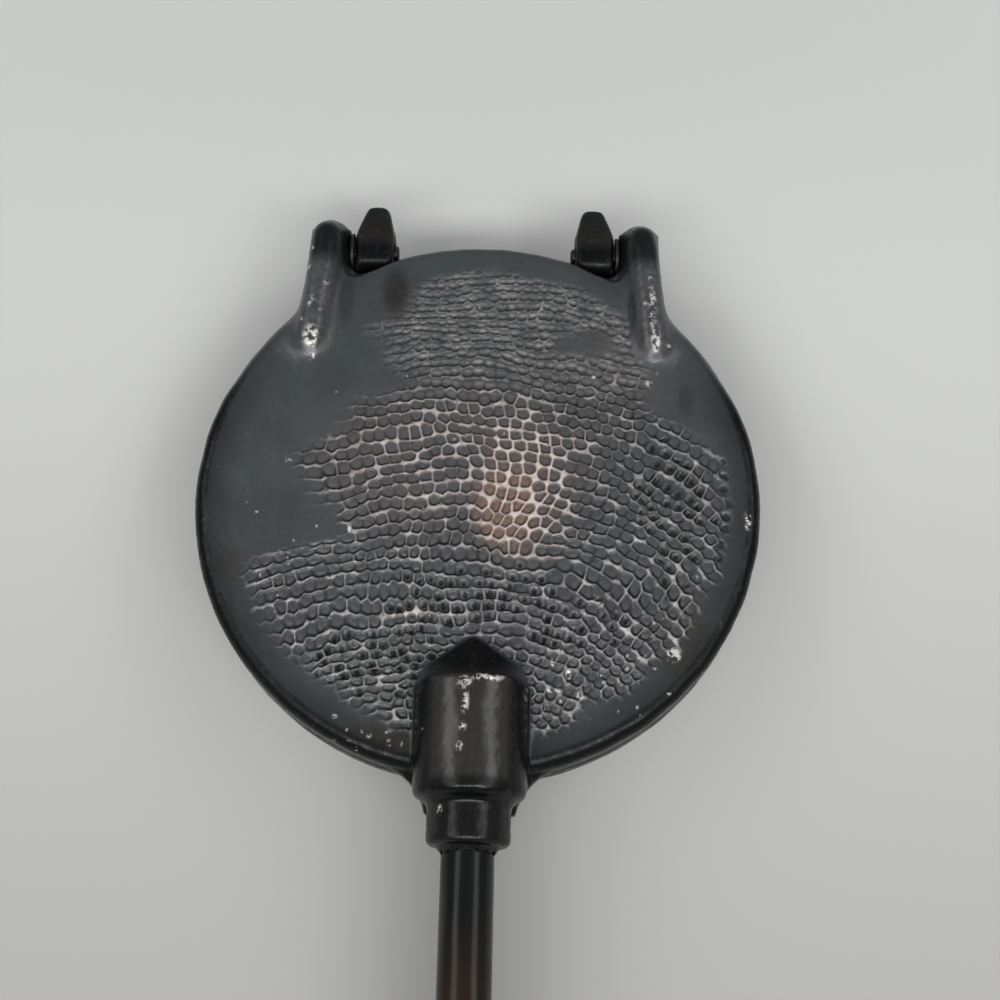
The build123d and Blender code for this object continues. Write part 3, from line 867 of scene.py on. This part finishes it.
# (body, seed) of each rod
rods = {
    "upper_handle_rod": ("upper_half", 51),
    "lower_handle_rod": ("lower_half", 53),
}
for node, (body, seed) in rods.items():
    rod = fine_skin(node, "bar_" + node, rod_grain)
    points, normals = read_points(rod)
    dents = waves(points * dent_stretch, *rod_dent, seed) + waves(points, *rod_bend, seed + 1)
    write_points(rod, points + normals * np.clip(dents, *rod_limits)[:, None])
    reflected_brown = np.interp(points[:, 1], *reflected_brown_by_y)
    mark(rod, "brown", reflected_brown * (brown_mean + waves(points, *brown_cloud, seed + 2)))
    mark(rod, "proud", step(*end_sharpness, standing_out(rod)))
    rod.data.materials.append(bar)
    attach(rod, body)
    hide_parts(node)

# Small steel fittings: a cross rivet dressed flush with each neck, two hinge pins pressed into
# the ears, a washer on each pin between ear and lug.
small_grain = 0.25
# (height, length) of the file marks, how deep they may go, and how rubbed the corners are
file_mark = (0.02, 1.8)
file_limits = (-0.05, 0.0)
corner_sharpness = (0.5, 2.0)
corner_rub = 0.2


def worked_steel():
    """Filed mild steel darkened by smoke: grey, half dull, brighter on its corners."""
    material = bpy.data.materials.new("smoke_darkened_filed_steel")
    material.use_nodes = True
    tree = material.node_tree
    shader = tree.nodes["Principled BSDF"]
    place = add_node(tree, "ShaderNodeTexCoord", {}).outputs["Object"]
    stain = add_node(
        tree, "ShaderNodeTexNoise",
        {"Vector": place, "Scale": per_mm(1.1), "Detail": 5, "Roughness": 0.65},
    ).outputs["Fac"]
    rubbed = add_node(tree, "ShaderNodeAttribute", {"attribute_name": "proud"}).outputs["Fac"]
    tone = add_node(
        tree, "ShaderNodeMix",
        {"data_type": "RGBA", 0: stain, 6: linear("#131212"), 7: linear("#2b2826")},
    ).outputs[2]
    tone = add_node(
        tree, "ShaderNodeMix", {"data_type": "RGBA", 0: rubbed, 6: tone, 7: linear("#5a544e")}
    ).outputs[2]
    tree.links.new(tone, shader.inputs["Base Color"])
    shader.inputs["Metallic"].default_value = 0.4
    rough = add_node(
        tree, "ShaderNodeMapRange", {"Value": stain, "To Min": 0.3, "To Max": 0.6}
    ).outputs["Result"]
    tree.links.new(rough, shader.inputs["Roughness"])
    marks = add_node(
        tree, "ShaderNodeBump", {"Strength": 0.4, "Distance": 0.03 * mm, "Height": stain}
    ).outputs["Normal"]
    tree.links.new(marks, shader.inputs["Normal"])
    return material


steel = worked_steel()
fittings = {
    "upper_socket_rivet": "upper_half",
    "lower_socket_rivet": "lower_half",
    "left_hinge_pin": "upper_half",
    "right_hinge_pin": "upper_half",
    "left_hinge_washer": "upper_half",
    "right_hinge_washer": "upper_half",
}
for seed, (node, body) in enumerate(fittings.items(), start=70):
    fitting = fine_skin(node, "steel_" + node, small_grain)
    points, normals = read_points(fitting)
    dents = np.clip(waves(points, *file_mark, seed), *file_limits)
    write_points(fitting, points + normals * dents[:, None])
    mark(fitting, "proud", corner_rub * step(*corner_sharpness, standing_out(fitting)))
    fitting.data.materials.append(steel)
    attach(fitting, body)
    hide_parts(node)

# The closing link is a length of round wire bent to a rectangle and welded shut.  It hangs in
# the lower handle's end and swings over the upper handle to hold the iron closed.
link_grain = 0.3
# (height, length) of the bends in the wire, how far they may go, and what counts as a corner
wire_dent = (0.03, 5)
wire_seed = 91
wire_limits = (-0.08, 0.0)
wire_sharpness = (0.6, 1.4)
# The weld: a low bead round the far bar, with ripples across it
weld_x = 2.0
weld_width = 1.5
weld_height = 0.3
weld_swell = 0.5
weld_rub = 0.5
weld_reach = (6, 4)
ripple_height = 0.08
ripple_pitch = 0.9
link = fine_skin("closing_link", "wire_closing_link", link_grain)
points, normals = read_points(link)
x, y = points[:, 0], points[:, 1]
on_far_bar = step(y.min() + weld_reach[0], y.min() + weld_reach[1], y)
weld = np.exp(-((x - weld_x) / weld_width) ** 2) * on_far_bar
dents = np.clip(waves(points, *wire_dent, wire_seed), *wire_limits) + weld * weld_height * weld_swell
dents += weld * ripple_height * np.sin(x * 2 * math.pi / ripple_pitch)
write_points(link, points + normals * np.minimum(dents, weld_height)[:, None])
mark(link, "proud", np.maximum(weld_rub * weld, step(*wire_sharpness, standing_out(link))))
link.data.materials.append(steel)
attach(link, "closing_link")
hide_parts("closing_link")

# A worktop painted a pale matt grey lies under the iron; its colour darkens towards the handles as
# painted shade.
# Beyond the lamps' reach it stays as pale to the camera as it is near the iron.  All in metres.
floor_z = cad_box[0][2]
floor_half = 3.0
pale_grey = "#cbccca"
shaded_grey = "#a5a4a1"
shade_from_y = -0.16
pale_from_y = 0.1
lit_middle = (0, -0.25, 0)
lit_radius = 0.37
glow_radius = 0.95
glow_strength = 0.72
bpy.ops.mesh.primitive_plane_add(size=2 * floor_half, location=(0, 0, floor_z))
floor = bpy.context.object
floor.name = "worktop"
paint = bpy.data.materials.new("matt_pale_grey_paint")
paint.use_nodes = True
tree = paint.node_tree
shader = tree.nodes["Principled BSDF"]
place = add_node(tree, "ShaderNodeTexCoord", {}).outputs["Object"]
up_the_view = add_node(tree, "ShaderNodeSeparateXYZ", {0: place}).outputs["Y"]
pale = add_node(
    tree, "ShaderNodeMapRange",
    {"interpolation_type": "SMOOTHSTEP", "Value": up_the_view, "From Min": shade_from_y,
     "From Max": pale_from_y},
).outputs["Result"]
tone = add_node(
    tree, "ShaderNodeMix",
    {"data_type": "RGBA", 0: pale, 6: linear(shaded_grey), 7: linear(pale_grey)},
).outputs[2]
tree.links.new(tone, shader.inputs["Base Color"])
from_lamps = add_node(
    tree, "ShaderNodeVectorMath", {"operation": "DISTANCE", 0: place, 1: lit_middle}
).outputs["Value"]
far = add_node(
    tree, "ShaderNodeMapRange",
    {"interpolation_type": "SMOOTHSTEP", "Value": from_lamps, "From Min": lit_radius,
     "From Max": glow_radius, "To Max": glow_strength},
).outputs["Result"]
seen = add_node(tree, "ShaderNodeLightPath", {}).outputs["Is Camera Ray"]
glow = add_node(tree, "ShaderNodeMath", {"operation": "MULTIPLY", 0: far, 1: seen}).outputs[0]
tree.links.new(glow, shader.inputs["Emission Strength"])
shader.inputs["Emission Color"].default_value = linear(pale_grey)
shader.inputs["Roughness"].default_value = 0.8
shader.inputs["Specular IOR Level"].default_value = 0.2
floor.data.materials.append(paint)

# The room gives a little soft light from all sides.  Where the camera looks past the worktop it
# sees the same pale grey.
room_colour = "#f1f3f5"
room_strength = 0.3
world = bpy.data.worlds.new("soft_room")
bpy.context.scene.world = world
world.use_nodes = True
tree = world.node_tree
soft_light = tree.nodes["Background"]
soft_light.inputs["Color"].default_value = linear(room_colour)
soft_light.inputs["Strength"].default_value = room_strength
backdrop = add_node(
    tree, "ShaderNodeBackground", {"Color": linear(pale_grey), "Strength": 1.0}
).outputs[0]
seen = add_node(tree, "ShaderNodeLightPath", {}).outputs["Is Camera Ray"]
room = add_node(
    tree, "ShaderNodeMixShader", {0: seen, 1: soft_light.outputs[0], 2: backdrop}
).outputs[0]
tree.links.new(room, tree.nodes["World Output"].inputs["Surface"])

# A long soft lamp hangs to each side of the iron and a narrow one beyond the handles' end.
# Each is given by its place, length, width and watts, and points at the middle of the plates.
lamps = (
    ((-0.5, -0.1, 0.6), 1.1, 0.3, 2.2),
    ((0.5, -0.1, 0.6), 1.1, 0.3, 2.2),
    ((0.05, -0.52, 0.68), 0.9, 0.16, 5.0),
)
for place, length, width, watts in lamps:
    light = bpy.data.lights.new("soft_lamp", "AREA")
    light.shape = "RECTANGLE"
    light.size = length
    light.size_y = width
    light.energy = watts
    lamp = bpy.data.objects.new("soft_lamp", light)
    lamp.location = place
    lamp.rotation_euler = (-lamp.location).to_track_quat("-Z", "Y").to_euler()
    bpy.context.scene.collection.objects.link(lamp)

# The camera looks almost straight down at the plates.
view = bpy.data.cameras.new("camera")
view.lens = 50.4
view.sensor_width = 36.0
camera = bpy.data.objects.new("camera", view)
camera.location = (0.006883, -0.12523, 0.33742)
camera.rotation_euler = (0.3656, -0.0034, 0.0199)
bpy.context.scene.collection.objects.link(camera)
bpy.context.scene.camera = camera
bpy.context.scene.view_settings.view_transform = "Standard"
